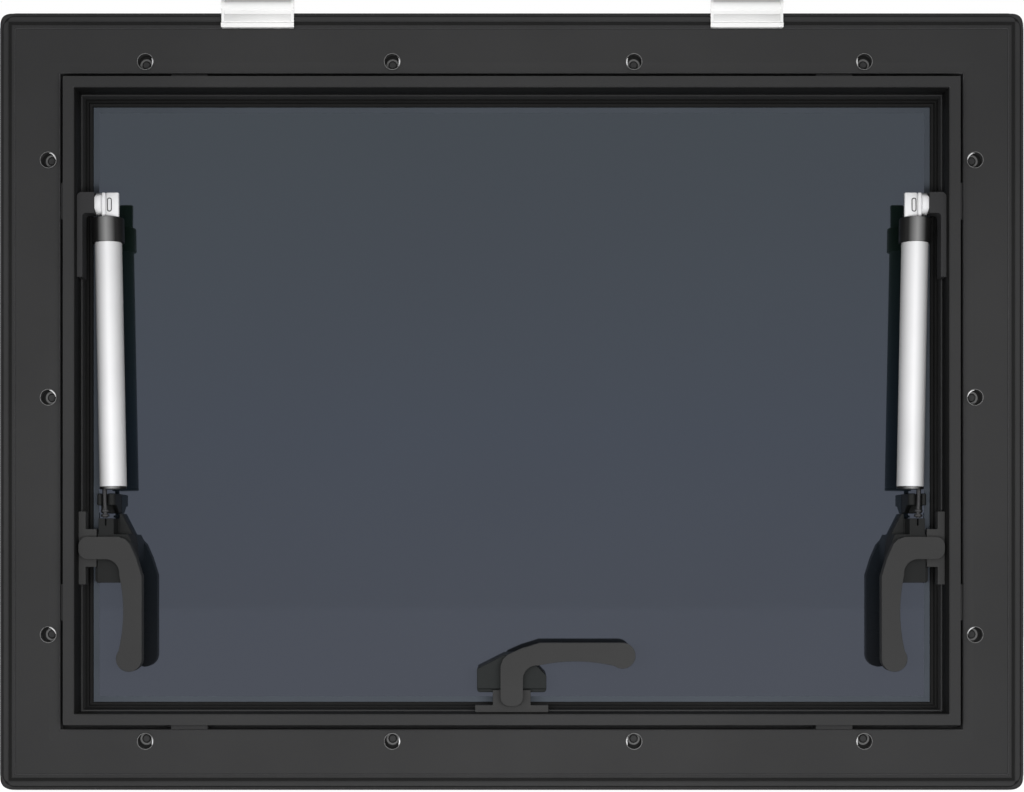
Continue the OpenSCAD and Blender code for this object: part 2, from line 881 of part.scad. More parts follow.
outer_frame_rail(0);  // outer_frame_top
outer_frame_rail(180);  // outer_frame_bottom
outer_frame_rail(270);  // outer_frame_left
outer_frame_rail(90);  // outer_frame_right
clamp_frame_rail(0);  // clamp_frame_top
clamp_frame_rail(180);  // clamp_frame_bottom
clamp_frame_rail(270);  // clamp_frame_left
clamp_frame_rail(90);  // clamp_frame_right
frame_gasket();
weather_seal();
hinge_rail();
hinge_leaf();
outer_pane();
pane_spacer();
inner_pane();
stay_bracket("left");  // stay_bracket_left
stay_pivot("left");  // stay_pivot_left
stay_collar("left");  // stay_collar_left
stay_tube("left");  // stay_tube_left
stay_end_cap("left");  // stay_end_cap_left
stay_rod("left");  // stay_rod_left
stay_anchor("left");  // stay_anchor_left
stay_bracket("right");  // stay_bracket_right
stay_pivot("right");  // stay_pivot_right
stay_collar("right");  // stay_collar_right
stay_tube("right");  // stay_tube_right
stay_end_cap("right");  // stay_end_cap_right
stay_rod("right");  // stay_rod_right
stay_anchor("right");  // stay_anchor_right
latch_base("left");  // latch_base_left
latch_handle("left");  // latch_handle_left
latch_striker("left");  // latch_striker_left
latch_base("right");  // latch_base_right
latch_handle("right");  // latch_handle_right
latch_striker("right");  // latch_striker_right
latch_base("bottom");  // latch_base_bottom
latch_handle("bottom");  // latch_handle_bottom
latch_striker("bottom");  // latch_striker_bottom
top_clip(clip_left_x);  // top_clip_left
top_clip(clip_right_x);  // top_clip_right
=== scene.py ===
import bpy
import bmesh
import json
from math import cos, pi, radians, sin
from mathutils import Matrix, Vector


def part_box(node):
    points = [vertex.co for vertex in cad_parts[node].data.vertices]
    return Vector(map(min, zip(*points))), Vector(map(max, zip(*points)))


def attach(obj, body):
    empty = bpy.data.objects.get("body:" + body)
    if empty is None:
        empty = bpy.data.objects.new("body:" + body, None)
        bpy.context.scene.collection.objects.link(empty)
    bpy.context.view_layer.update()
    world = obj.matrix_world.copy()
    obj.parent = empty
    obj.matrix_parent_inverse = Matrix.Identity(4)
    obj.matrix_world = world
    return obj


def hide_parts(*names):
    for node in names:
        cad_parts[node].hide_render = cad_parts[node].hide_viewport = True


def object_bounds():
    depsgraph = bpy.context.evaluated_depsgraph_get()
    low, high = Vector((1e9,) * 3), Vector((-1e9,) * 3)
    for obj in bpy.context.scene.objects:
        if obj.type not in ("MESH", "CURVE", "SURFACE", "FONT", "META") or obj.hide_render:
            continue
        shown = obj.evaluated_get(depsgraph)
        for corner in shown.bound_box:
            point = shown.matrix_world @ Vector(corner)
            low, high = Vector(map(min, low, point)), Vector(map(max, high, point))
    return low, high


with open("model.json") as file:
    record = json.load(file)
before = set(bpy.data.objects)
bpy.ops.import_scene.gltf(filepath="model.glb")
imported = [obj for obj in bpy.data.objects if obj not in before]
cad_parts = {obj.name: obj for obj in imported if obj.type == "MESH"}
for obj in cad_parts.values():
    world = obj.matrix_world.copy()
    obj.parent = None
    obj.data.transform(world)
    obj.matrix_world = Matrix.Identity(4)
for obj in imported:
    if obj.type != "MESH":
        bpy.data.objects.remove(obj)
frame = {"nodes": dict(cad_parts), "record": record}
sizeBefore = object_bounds()
mm = 0.001
print("frame loaded:", len(frame["nodes"]), "CAD nodes")


# node helpers

def noiseAt(nodes, links, where, scale, detail, stretch=None):
    noise = nodes.new("ShaderNodeTexNoise")
    noise.inputs["Scale"].default_value = scale
    noise.inputs["Detail"].default_value = detail
    if stretch:
        mapping = nodes.new("ShaderNodeMapping")
        mapping.inputs["Scale"].default_value = stretch
        links.new(where, mapping.inputs["Vector"])
        links.new(mapping.outputs[0], noise.inputs["Vector"])
    else:
        links.new(where, noise.inputs["Vector"])
    return noise.outputs["Fac"]


def spreadTo(nodes, links, source, low, high, fromLow=0.3, fromHigh=0.7):
    spread = nodes.new("ShaderNodeMapRange")
    spread.inputs["From Min"].default_value = fromLow
    spread.inputs["From Max"].default_value = fromHigh
    spread.inputs["To Min"].default_value = low
    spread.inputs["To Max"].default_value = high
    links.new(source, spread.inputs["Value"])
    return spread.outputs["Result"]


def mathOf(nodes, links, operation, first, second=None):
    node = nodes.new("ShaderNodeMath")
    node.operation = operation
    for slot, value in ((0, first), (1, second)):
        if isinstance(value, float):
            node.inputs[slot].default_value = value
        elif value is not None:
            links.new(value, node.inputs[slot])
    return node.outputs[0]


def multiplied(nodes, links, colour, factor):
    tint = nodes.new("ShaderNodeMix")
    tint.data_type = "RGBA"
    tint.blend_type = "MULTIPLY"
    tint.inputs["Factor"].default_value = 1.0
    if isinstance(colour, tuple):
        tint.inputs[6].default_value = (*colour, 1)
    else:
        links.new(colour, tint.inputs[6])
    links.new(factor, tint.inputs[7])
    return tint.outputs[2]


# camera and light

cameraSettings = {
    "place": (0.0, -1.032, 0.1089),   # level with the side latches, about a metre inside
    "lens": 63.9,
    "sensor": 36.0,
    "shiftUp": 0.1484,
    "shiftAside": 0.0003,
    "nearest": 0.05,
}
worldSettings = {"light": 0.20, "seen": 1.0}
# soft light from the front and low down, kept out of the panes' reflection, a fill behind,
# and two small lamps for the glints
lampSettings = {
    "frontKey": {"place": (0.1, -1.45, 0.25), "aim": (0, 0, 0.2), "size": (0.7, 0.5),
                 "power": 4.6, "mirrored": False},
    "lowFill": {"place": (0.0, -0.64, 0.07), "aim": (0, 0, 0.05), "size": (0.6, 0.12),
                "power": 4.2, "mirrored": False},
    "leftGlint": {"place": (-0.66, -1.3, 0.5), "aim": (0, 0, 0.2), "size": (0.14, 0.16),
                  "power": 0.9, "mirrored": True},
    "rightGlint": {"place": (0.66, -1.3, 0.5), "aim": (0, 0, 0.2), "size": (0.14, 0.16),
                   "power": 0.9, "mirrored": True},
    "backFill": {"place": (0.2, 1.7, 0.5), "aim": (0, 0, 0.2), "size": (1.2, 0.8),
                 "power": 18.0, "mirrored": False},
}
floorSettings = {"half": 3.0, "drop": 0.0005, "colour": (0.22, 0.22, 0.22), "roughness": 0.9, "lift": 0.95}


def makeCamera():
    data = bpy.data.cameras.new("photoCamera")
    data.lens = cameraSettings["lens"]
    data.sensor_width = cameraSettings["sensor"]
    data.shift_x = cameraSettings["shiftAside"]
    data.shift_y = cameraSettings["shiftUp"]
    data.clip_start = cameraSettings["nearest"]
    camera = bpy.data.objects.new("photoCamera", data)
    camera.location = cameraSettings["place"]
    camera.rotation_euler = (radians(90), 0, 0)
    bpy.context.scene.collection.objects.link(camera)
    bpy.context.scene.camera = camera


def seenRays(tree):
    # 1 for the rays that see the background: straight, mirrored or through glass
    nodes, links = tree.nodes, tree.links
    path = nodes.new("ShaderNodeLightPath").outputs
    either = mathOf(nodes, links, "MAXIMUM", path["Is Camera Ray"], path["Is Glossy Ray"])
    return mathOf(nodes, links, "MAXIMUM", either, path["Is Transmission Ray"])


def makeWorld():
    world = bpy.data.worlds.new("studioWorld")
    bpy.context.scene.world = world
    world.use_nodes = True
    nodes, links = world.node_tree.nodes, world.node_tree.links
    nodes.clear()
    mix = nodes.new("ShaderNodeMixShader")
    for slot, name in ((1, "light"), (2, "seen")):
        white = nodes.new("ShaderNodeBackground")
        white.inputs["Color"].default_value = (1, 1, 1, 1)
        white.inputs["Strength"].default_value = worldSettings[name]
        links.new(white.outputs[0], mix.inputs[slot])
    out = nodes.new("ShaderNodeOutputWorld")
    links.new(seenRays(world.node_tree), mix.inputs[0])
    links.new(mix.outputs[0], out.inputs["Surface"])


def makeLamp(name):
    lampLook = lampSettings[name]
    data = bpy.data.lights.new(name, "AREA")
    data.shape = "RECTANGLE"
    data.size, data.size_y = lampLook["size"]
    data.energy = lampLook["power"]
    lamp = bpy.data.objects.new(name, data)
    lamp.location = lampLook["place"]
    aim = Vector(lampLook["aim"]) - Vector(lampLook["place"])
    lamp.rotation_euler = aim.to_track_quat("-Z", "Y").to_euler()
    lamp.visible_camera = False
    lamp.visible_glossy = lampLook["mirrored"]
    bpy.context.scene.collection.objects.link(lamp)


def makeFloor():
    half, z = floorSettings["half"], sizeBefore[0].z - floorSettings["drop"]
    mesh = bpy.data.meshes.new("floor")
    corners = [(-half, -half, z), (half, -half, z), (half, half, z), (-half, half, z)]
    mesh.from_pydata(corners, [], [(0, 1, 2, 3)])
    floor = bpy.data.objects.new("floor", mesh)
    bpy.context.scene.collection.objects.link(floor)
    material = bpy.data.materials.new("paleFloor")
    material.use_nodes = True
    nodes, links = material.node_tree.nodes, material.node_tree.links
    shader = nodes["Principled BSDF"]
    shader.inputs["Roughness"].default_value = floorSettings["roughness"]
    shader.inputs["Emission Color"].default_value = (1, 1, 1, 1)
    # lifts the floor to white where it is seen, shadow kept
    lift = mathOf(nodes, links, "MULTIPLY", seenRays(material.node_tree), floorSettings["lift"])
    # mirrored rays see it plain white, so that the lamps' pools on the floor don't show in the pane
    mirrored = nodes.new("ShaderNodeLightPath").outputs["Is Glossy Ray"]
    rest = mathOf(nodes, links, "MULTIPLY", mirrored, worldSettings["seen"] - floorSettings["lift"])
    links.new(mathOf(nodes, links, "ADD", lift, rest), shader.inputs["Emission Strength"])
    plain = mathOf(nodes, links, "SUBTRACT", 1.0, mirrored)
    links.new(multiplied(nodes, links, floorSettings["colour"], plain), shader.inputs["Base Color"])
    mesh.materials.append(material)


bpy.context.scene.view_settings.view_transform = "Standard"
makeCamera()
makeWorld()
makeFloor()
for lampName in lampSettings:
    makeLamp(lampName)
print("camera, world, lamps and floor made")


# materials

darkMetal = {"colour": (0.0335, 0.0335, 0.034), "roughness": 0.5, "ior": 1.15, "grain": 1400.0, "depth": 0.03}
moulded = {"roughness": 0.42, "ior": 1.2, "grain": 1800.0, "depth": 0.03}
# for the pale washers and for the painted highlight on the hole rims
paleFinish = {"roughness": 0.45, "ior": 1.2, "grain": 900.0, "depth": 0.01}
# every finish: fine grain in the bump (depth in mm), slow drift in the colour, a spread of roughness
finishes = {
    "frame_metal": darkMetal,
    "clamp_metal": darkMetal,
    "seal_rubber": {"colour": (0.008, 0.008, 0.008), "roughness": 0.5, "ior": 1.2, "grain": 900.0,
                    "depth": 0.04},
    "spacer_black": {"colour": (0.006, 0.006, 0.006), "roughness": 0.7, "ior": 1.2, "grain": 800.0,
                     "depth": 0.04},
    "bracket_metal": dict(darkMetal, colour=(0.033, 0.033, 0.034)),
    "bright_metal": {"colour": (0.74, 0.74, 0.75), "roughness": 0.4, "ior": 1.2, "grain": 700.0,
                     "depth": 0.02},
    # painted highlight: the collars and the tubes are paler down their fronts, set by the sheen keys
    "gloss_black": {"colour": (0.006, 0.006, 0.006), "roughness": 0.38, "ior": 1.3, "grain": 300.0,
                    "depth": 0.004, "sheenAt": 0.2227, "sheenWidth": (0.0003, 0.0047), "sheen": 36.0},
    "satin_tube": {"colour": (0.315, 0.315, 0.319), "roughness": 0.5, "ior": 1.1, "grain": 900.0,
                   "depth": 0.008, "stretch": (1, 1, 0.02),
                   "sheenAt": 0.2226, "sheenWidth": (0.0005, 0.0080), "sheen": 2.38},
    "rod_steel": {"colour": (0.055, 0.055, 0.057), "roughness": 0.4, "metal": 0.8, "grain": 900.0,
                  "depth": 0.01},
    "latch_plastic": dict(moulded, colour=(0.0165, 0.018, 0.018)),
    "handle_plastic": dict(moulded, colour=(0.0335, 0.0335, 0.0335), roughness=0.5),
    "striker_plastic": dict(moulded, colour=(0.034, 0.034, 0.034), roughness=0.5),
    "clip_plastic": {"colour": (0.84, 0.84, 0.835), "roughness": 0.4, "ior": 1.3, "grain": 900.0,
                     "depth": 0.02},
    # painted reflection along the pane's edge
    "paneBorder": {"colour": (0.0585, 0.0670, 0.0795), "roughness": 0.5, "ior": 1.1, "grain": 900.0,
                   "depth": 0.01},
    "wornMetal": dict(paleFinish, colour=(0.10, 0.10, 0.10)),
    # painted highlight on the rims of the screw holes
    "rimMetal": dict(paleFinish, colour=(0.22, 0.22, 0.22)),
    "anchorDark": dict(moulded, colour=(0.009, 0.0095, 0.0095), roughness=0.4, ior=1.25),
    # painted shade: the side latches' bases are darker, where their handles' shade falls
    "baseDark": dict(moulded, colour=(0.0125, 0.013, 0.013)),
    # painted shade in the clips' crease
    "clipBand": {"colour": (0.71, 0.71, 0.705), "roughness": 0.45, "ior": 1.3, "grain": 900.0,
                 "depth": 0.02},
}
# the nodes that wear a darker copy of their slot: the side latches' bases with painted shade from their
# handles, and the anchors
shadeOf = {"stay_anchor_left": "anchorDark", "stay_anchor_right": "anchorDark",
           "latch_base_left": "baseDark", "latch_base_right": "baseDark"}
surfaceSettings = {"grainDetail": 3.0, "drift": 14.0, "driftDetail": 4.0, "shade": (0.94, 1.06),
                   "roughSpread": 0.04}
# the stays lean, so the painted highlight on them shifts aside with the height, in metres
leanSettings = {"shifts": (-0.003, 0.001), "heights": (0.1266, 0.3297)}


def newMaterial(name, look):
    material = bpy.data.materials.new(name)
    material.use_nodes = True
    shader = material.node_tree.nodes["Principled BSDF"]
    shader.inputs["Base Color"].default_value = (*look.get("colour", (0, 0, 0)), 1)
    shader.inputs["Roughness"].default_value = look["roughness"]
    shader.inputs["Metallic"].default_value = look.get("metal", 0.0)
    shader.inputs["IOR"].default_value = look.get("ior", 1.5)
    shader.inputs["Specular Tint"].default_value = (*look.get("tint", (1, 1, 1)), 1)
    return material, shader


def makeFinish(slot):
    look = finishes[slot]
    material, shader = newMaterial(slot + "Finish", look)
    nodes, links = material.node_tree.nodes, material.node_tree.links
    where = nodes.new("ShaderNodeTexCoord").outputs["Object"]
    fine = noiseAt(nodes, links, where, look["grain"], surfaceSettings["grainDetail"], look.get("stretch"))
    slow = noiseAt(nodes, links, where, surfaceSettings["drift"], surfaceSettings["driftDetail"])
    bump = nodes.new("ShaderNodeBump")
    bump.inputs["Strength"].default_value = 1.0
    bump.inputs["Distance"].default_value = look["depth"] * mm
    links.new(fine, bump.inputs["Height"])
    links.new(bump.outputs["Normal"], shader.inputs["Normal"])
    shade = spreadTo(nodes, links, slow, *surfaceSettings["shade"])
    colour = multiplied(nodes, links, look["colour"], shade)
    if "sheen" in look:
        # painted highlight, paler along the front of the round part, at this distance from the middle of the
        # window
        across = nodes.new("ShaderNodeSeparateXYZ")
        links.new(where, across.inputs[0])
        aside = mathOf(nodes, links, "ABSOLUTE", across.outputs["X"])
        shift = spreadTo(nodes, links, across.outputs["Z"], *leanSettings["shifts"], *leanSettings["heights"])
        upright = mathOf(nodes, links, "SUBTRACT", aside, shift)
        off = mathOf(nodes, links, "ABSOLUTE", mathOf(nodes, links, "SUBTRACT", upright, look["sheenAt"]))
        paintedHighlight = spreadTo(nodes, links, off, look["sheen"], 1.0, *look["sheenWidth"])
        colour = multiplied(nodes, links, colour, paintedHighlight)
    links.new(colour, shader.inputs["Base Color"])
    least, most = (look["roughness"] + sign * surfaceSettings["roughSpread"] for sign in (-1, 1))
    links.new(spreadTo(nodes, links, fine, least, most), shader.inputs["Roughness"])
    return material


paneLook = {
    "low": (0.01, 0.0106, 0.0122), "middle": (0.0054, 0.0088, 0.0122), "top": (0.0027, 0.0062, 0.0013),
    "heights": (0.02, 0.36), "middleAt": 0.45,
    "ior": 1.80, "tint": (0.7, 0.775, 0.98),
    "drift": 5.0, "driftDetail": 2.0, "shade": (0.85, 1.15),
    "roughness": 0.03, "smear": 60.0, "smearDetail": 3.0, "smearRange": (-0.01, 0.02),
}


def makePaneFinish():
    # tinted acrylic: near black by itself, and mirrors the white room; its colour turns paler and bluer toward
    # the bottom
    material, shader = newMaterial("tinted_paneFinish", paneLook)
    nodes, links = material.node_tree.nodes, material.node_tree.links
    where = nodes.new("ShaderNodeTexCoord").outputs["Object"]
    split = nodes.new("ShaderNodeSeparateXYZ")
    links.new(where, split.inputs[0])
    height = spreadTo(nodes, links, split.outputs["Z"], 0.0, 1.0, *paneLook["heights"])
    ramp = nodes.new("ShaderNodeValToRGB")
    ramp.color_ramp.elements.new(paneLook["middleAt"])
    for stop, name in zip(ramp.color_ramp.elements, ("low", "middle", "top")):
        stop.color = (*paneLook[name], 1)
    links.new(height, ramp.inputs[0])
    slow = noiseAt(nodes, links, where, paneLook["drift"], paneLook["driftDetail"])
    shade = spreadTo(nodes, links, slow, *paneLook["shade"])
    links.new(multiplied(nodes, links, ramp.outputs[0], shade), shader.inputs["Base Color"])
    smear = noiseAt(nodes, links, where, paneLook["smear"], paneLook["smearDetail"])
    least, most = (paneLook["roughness"] + step for step in paneLook["smearRange"])
    links.new(spreadTo(nodes, links, smear, least, most), shader.inputs["Roughness"])
    return material


materials = {slot: makeFinish(slot) for slot in finishes}
materials["tinted_pane"] = makePaneFinish()
slotOf = {part["node"]: part["material_slot"] for part in frame["record"]["subparts"]}
bodyOf = {node: body for body, members in frame["record"]["behaviour"]["bodies"].items() for node in members}
for nodeName, node in frame["nodes"].items():
    node.data.materials.clear()
    node.data.materials.append(materials[slotOf[nodeName]])
print("materials made:", len(materials))


# helpers for pieces

sharpAngle, wireAngle = 40, 60   # degrees: edges sharper than this stay crisp, on plain pieces and on wires
mergeSettings = {"gap": 2e-6, "seamGap": 1e-6, "flatAngle": 0.6}   # metres and degrees
roundSettings = {"steps": 3, "sharpAngle": 40, "weight": 90}   # the bevel's steps and angle, the flats' weight


def settle(piece):
    # modifiers become plain mesh
    bpy.context.view_layer.update()
    depsgraph = bpy.context.evaluated_depsgraph_get()
    mesh = bpy.data.meshes.new_from_object(piece.evaluated_get(depsgraph), depsgraph=depsgraph)
    mesh.name = piece.name + "Mesh"
    piece.modifiers.clear()
    piece.data = mesh


def mergedShape(nodeName):
    # the CAD mesh is loose triangles, so its copy is merged and the flat faces are joined
    shape = bmesh.new()
    shape.from_mesh(frame["nodes"][nodeName].data)
    bmesh.ops.remove_doubles(shape, verts=shape.verts, dist=mergeSettings["gap"])
    flat = radians(mergeSettings["flatAngle"])
    bmesh.ops.dissolve_limit(shape, angle_limit=flat, verts=shape.verts, edges=shape.edges)
    mesh = bpy.data.meshes.new(nodeName + "Round")
    shape.to_mesh(mesh)
    shape.free()
    return mesh


def plainName(nodeName):
    # latch_handle_left becomes latchHandleLeft
    first, *others = nodeName.split("_")
    return first + "".join(word.title() for word in others)


def roundedPiece(nodeName, edge):
    # the CAD shape with rounded edges, as it comes out of the mould
    mesh = mergedShape(nodeName)
    for face in mesh.polygons:
        face.use_smooth = True
    piece = bpy.data.objects.new(plainName(nodeName), mesh)
    bpy.context.scene.collection.objects.link(piece)
    bevel = piece.modifiers.new("edgeRound", "BEVEL")
    bevel.width = edge * mm
    bevel.segments = roundSettings["steps"]
    bevel.limit_method = "ANGLE"
    bevel.angle_limit = radians(roundSettings["sharpAngle"])
    bevel.use_clamp_overlap = True
    bevel.miter_outer = "MITER_ARC"
    weigh = piece.modifiers.new("flatWeight", "WEIGHTED_NORMAL")
    weigh.weight = roundSettings["weight"]
    weigh.keep_sharp = True
    settle(piece)
    piece.data.materials.clear()
    piece.data.materials.append(materials[shadeOf.get(nodeName, slotOf[nodeName])])
    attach(piece, bodyOf[nodeName])
    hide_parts(nodeName)


def meshPiece(name, verts, faces, slot, body, sharp=sharpAngle):
    # a piece built point by point, in mm
    mesh = bpy.data.meshes.new(name + "Mesh")
    mesh.from_pydata([(x * mm, y * mm, z * mm) for x, y, z in verts], [], faces)
    shape = bmesh.new()
    shape.from_mesh(mesh)
    bmesh.ops.recalc_face_normals(shape, faces=shape.faces)
    shape.to_mesh(mesh)
    shape.free()
    mesh.materials.append(materials[slot])
    piece = bpy.data.objects.new(name, mesh)
    bpy.context.scene.collection.objects.link(piece)
    smoothBy(piece, sharp)
    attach(piece, body)
    return piece


def smoothBy(piece, angle):
    for face in piece.data.polygons:
        face.use_smooth = True
    piece.data.set_sharp_from_angle(angle=radians(angle))


def turned(verts, faces, profile, origin, axis, steps, closed=False):
    # turns (radius, along) pairs round an axis; a radius of 0 closes the end
    axis = Vector(axis).normalized()
    side = axis.cross(Vector((0, 1, 0)) if abs(axis.y) < 0.9 else Vector((1, 0, 0))).normalized()
    other = axis.cross(side)
    rings = []
    for radius, along in profile:
        centre = Vector(origin) + axis * along
        if radius == 0:
            rings.append([len(verts)])
            verts.append(tuple(centre))
            continue
        rings.append(list(range(len(verts), len(verts) + steps)))
        for step in range(steps):
            turn = 2 * pi * step / steps
            verts.append(tuple(centre + side * (radius * cos(turn)) + other * (radius * sin(turn))))
    pairs = list(zip(rings, rings[1:])) + ([(rings[-1], rings[0])] if closed else [])
    for first, second in pairs:
        if len(first) == len(second) == 1:
            continue
        for step in range(steps):
            after = (step + 1) % steps
            if len(first) == 1:
                faces.append((first[0], second[after], second[step]))
            elif len(second) == 1:
                faces.append((first[step], first[after], second[0]))
            else:
                faces.append((first[step], first[after], second[after], second[step]))


def softBox(verts, faces, low, high, edge):
    # a box with bevelled edges, drawn as three pairs of inset faces
    spots = {}
    for axis in range(3):
        for corner in range(8):
            point = []
            for k in range(3):
                end = (corner >> k) & 1
                value = high[k] if end else low[k]
                point.append(value if k == axis else value + (-edge if end else edge))
            spots[axis, corner] = len(verts)
            verts.append(tuple(point))
    for axis in range(3):
        a, b = (axis + 1) % 3, (axis + 2) % 3
        for end in (0, 1):
            base = end << axis
            faces.append([spots[axis, base | u << a | v << b] for u, v in ((0, 0), (1, 0), (1, 1), (0, 1))])
        for corner in range(8):
            if not corner >> axis & 1:
                # the bevel along this axis joins the faces of the two other axes
                far = corner | 1 << axis
                faces.append([spots[a, corner], spots[a, far], spots[b, far], spots[b, corner]])
    for corner in range(8):
        faces.append([spots[k, corner] for k in range(3)])


# latches, stays and clips with their moulded edges, in mm

edgeRounds = {
    "latch_handle": 0.9,
    "latch_base": 0.9,
    "latch_striker": 0.35,
    "stay_anchor": 0.9,
    "stay_bracket": 0.3,
    "stay_tube": 0.25,
    "stay_end_cap": 0.35,
    "stay_rod": 0.2,
    "top_clip": 0.5,
}
for nodeName in list(frame["nodes"]):
    family = nodeName.rsplit("_", 1)[0]
    if family in edgeRounds:
        roundedPiece(nodeName, edgeRounds[family])
print("latches, stays and clips rounded")


# node trees for what follows a path or repeats

wireSides, cornerSteps = 8, 10   # how finely wires and their rounded corners are drawn


def newTree(name, sockets):
    tree = bpy.data.node_groups.new(name, "GeometryNodeTree")
    tree.interface.new_socket("Geometry", in_out="INPUT", socket_type="NodeSocketGeometry")
    for label, kind, value in sockets:
        socket = tree.interface.new_socket(label, in_out="INPUT", socket_type=kind)
        if value is not None:
            socket.default_value = value
    tree.interface.new_socket("Geometry", in_out="OUTPUT", socket_type="NodeSocketGeometry")
    return tree, tree.nodes.new("NodeGroupInput"), tree.nodes.new("NodeGroupOutput")


def endTree(tree, start, end, made):
    # every tree ends in plain geometry that wears its material
    nodes, links = tree.nodes, tree.links
    join = nodes.new("GeometryNodeRealizeInstances")
    paint = nodes.new("GeometryNodeSetMaterial")
    links.new(made, join.inputs[0])
    links.new(join.outputs[0], paint.inputs["Geometry"])
    links.new(start.outputs["Material"], paint.inputs["Material"])
    links.new(paint.outputs[0], end.inputs[0])
    return tree


def roundWire(tree, start, path):
    # a round wire along a curve
    nodes, links = tree.nodes, tree.links
    wire = nodes.new("GeometryNodeCurvePrimitiveCircle")
    wire.inputs["Resolution"].default_value = wireSides
    sweep = nodes.new("GeometryNodeCurveToMesh")
    links.new(start.outputs["Wire"], wire.inputs["Radius"])
    links.new(path, sweep.inputs["Curve"])
    links.new(wire.outputs["Curve"], sweep.inputs["Profile Curve"])
    return sweep.outputs[0]


def useTree(name, verts, edges, tree, values, slot):
    # runs a tree on a small mesh of its own and keeps the plain result
    seed = bpy.data.meshes.new(name + "Seed")
    seed.from_pydata(verts, edges, [])
    piece = bpy.data.objects.new(name, seed)
    bpy.context.scene.collection.objects.link(piece)
    modifier = piece.modifiers.new("make", "NODES")
    modifier.node_group = tree
    values = dict(values, Material=materials[slot])
    for item in tree.interface.items_tree:
        if item.item_type == "SOCKET" and item.in_out == "INPUT" and item.name in values:
            modifier[item.identifier] = values[item.name]
    settle(piece)
    shape = bmesh.new()
    shape.from_mesh(piece.data)
    bmesh.ops.remove_doubles(shape, verts=shape.verts, dist=mergeSettings["seamGap"])
    bmesh.ops.recalc_face_normals(shape, faces=shape.faces)
    shape.to_mesh(piece.data)
    shape.free()
    piece.data.materials.clear()
    piece.data.materials.append(materials[slot])
    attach(piece, "window")
    return piece


def mitredRingTree():
    # sweeps the section it is given round a rectangle in the XZ plane, with true mitres at the corners
    tree, start, end = newTree("mitredRing", [
        ("Width", "NodeSocketFloat", 0.5), ("Height", "NodeSocketFloat", 0.3),
        ("Middle", "NodeSocketFloat", 0.0), ("Material", "NodeSocketMaterial", None)])
    nodes, links = tree.nodes, tree.links
    section = nodes.new("GeometryNodeMeshToCurve")
    path = nodes.new("GeometryNodeCurvePrimitiveQuadrilateral")
    keepSection = nodes.new("GeometryNodeCaptureAttribute")
    keepCorner = nodes.new("GeometryNodeCaptureAttribute")
    for keep in (keepSection, keepCorner):
        keep.capture_items.new("VECTOR", "Place")
        keep.domain = "POINT"
    place = nodes.new("GeometryNodeInputPosition")
    sweep = nodes.new("GeometryNodeCurveToMesh")
    move = nodes.new("GeometryNodeSetPosition")
    links.new(start.outputs["Geometry"], section.inputs["Mesh"])
    links.new(start.outputs["Width"], path.inputs["Width"])
    links.new(start.outputs["Height"], path.inputs["Height"])
    links.new(section.outputs["Curve"], keepSection.inputs[0])
    links.new(place.outputs[0], keepSection.inputs[1])
    links.new(path.outputs["Curve"], keepCorner.inputs[0])
    links.new(place.outputs[0], keepCorner.inputs[1])
    links.new(keepCorner.outputs[0], sweep.inputs["Curve"])
    links.new(keepSection.outputs[0], sweep.inputs["Profile Curve"])
    across = nodes.new("ShaderNodeSeparateXYZ")
    links.new(keepSection.outputs[1], across.inputs[0])
    outward = nodes.new("ShaderNodeVectorMath")
    outward.operation = "SIGN"
    links.new(keepCorner.outputs[1], outward.inputs[0])
    reach = nodes.new("ShaderNodeVectorMath")
    reach.operation = "SCALE"
    links.new(outward.outputs[0], reach.inputs[0])
    links.new(across.outputs["X"], reach.inputs["Scale"])
    corner = nodes.new("ShaderNodeVectorMath")
    corner.operation = "ADD"
    links.new(keepCorner.outputs[1], corner.inputs[0])
    links.new(reach.outputs[0], corner.inputs[1])
    flat = nodes.new("ShaderNodeSeparateXYZ")
    links.new(corner.outputs[0], flat.inputs[0])
    lift = nodes.new("ShaderNodeMath")
    links.new(flat.outputs["Y"], lift.inputs[0])
    links.new(start.outputs["Middle"], lift.inputs[1])
    final = nodes.new("ShaderNodeCombineXYZ")
    links.new(flat.outputs["X"], final.inputs["X"])
    links.new(across.outputs["Y"], final.inputs["Y"])
    links.new(lift.outputs[0], final.inputs["Z"])
    links.new(sweep.outputs[0], move.inputs["Geometry"])
    links.new(final.outputs[0], move.inputs["Position"])
    return endTree(tree, start, end, move.outputs[0])


def wireRingTree():
    # runs a round wire along a rectangle with rounded corners, in an upright plane
    tree, start, end = newTree("wireRing", [
        ("Width", "NodeSocketFloat", 0.5), ("Height", "NodeSocketFloat", 0.3),
        ("Corner", "NodeSocketFloat", 0.005), ("Wire", "NodeSocketFloat", 0.0003),
        ("Place", "NodeSocketVector", None), ("Material", "NodeSocketMaterial", None)])
    nodes, links = tree.nodes, tree.links
    path = nodes.new("GeometryNodeCurvePrimitiveQuadrilateral")
    corner = nodes.new("GeometryNodeFilletCurve")
    corner.mode = "POLY"
    corner.inputs["Count"].default_value = cornerSteps
    stand = nodes.new("GeometryNodeTransform")
    stand.inputs["Rotation"].default_value = (radians(90), 0, 0)
    links.new(start.outputs["Width"], path.inputs["Width"])
    links.new(start.outputs["Height"], path.inputs["Height"])
    links.new(path.outputs["Curve"], corner.inputs["Curve"])
    links.new(start.outputs["Corner"], corner.inputs["Radius"])
    links.new(roundWire(tree, start, corner.outputs["Curve"]), stand.inputs["Geometry"])
    links.new(start.outputs["Place"], stand.inputs["Translation"])
    return endTree(tree, start, end, stand.outputs[0])


